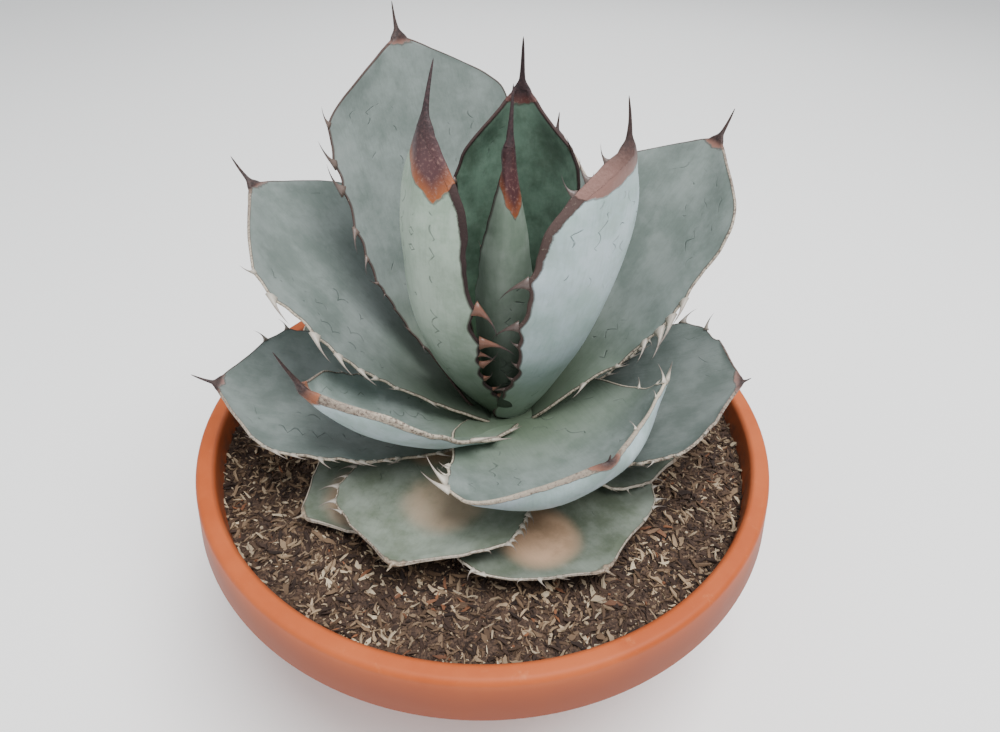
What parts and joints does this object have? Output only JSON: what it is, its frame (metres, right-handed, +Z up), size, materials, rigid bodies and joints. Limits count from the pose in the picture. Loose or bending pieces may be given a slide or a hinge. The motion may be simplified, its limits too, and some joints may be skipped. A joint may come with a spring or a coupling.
{
  "type": "potted agave",
  "caption": "Broad-leaved spiny agave rosette growing from bark-strewn soil in a shallow round terracotta-coloured plastic bowl pot with a turned-over rim band.",
  "frame": {"origin": "middle of the pot's flat base, on the ground", "axes": "+Z up out of the pot; -Y towards the front, the side it is looked at from; +X to the right"},
  "size_m": [0.35, 0.35, 0.3701],
  "materials": {
    "leaf": "satin, waxy bloom",
    "young_leaf": "satin",
    "old_leaf": "satin, blotched",
    "pot": "matt moulded plastic",
    "soil": "rough",
    "stem": "satin"
  },
  "bodies": {
    "root": {"leaf_01": "young_leaf", "leaf_02": "young_leaf", "leaf_03": "leaf", "leaf_04": "young_leaf", "leaf_05": "leaf", "leaf_06": "leaf", "leaf_07": "leaf", "leaf_08": "leaf", "leaf_09": "leaf", "leaf_10": "leaf", "leaf_11": "leaf", "leaf_12": "leaf", "leaf_13": "leaf", "leaf_14": "leaf", "leaf_15": "old_leaf", "leaf_16": "old_leaf", "leaf_17": "old_leaf", "leaf_18": "old_leaf", "leaf_19": "old_leaf", "leaf_20": "old_leaf", "pot": "pot", "soil": "soil", "stem": "stem"}
  },
  "joints": []
}
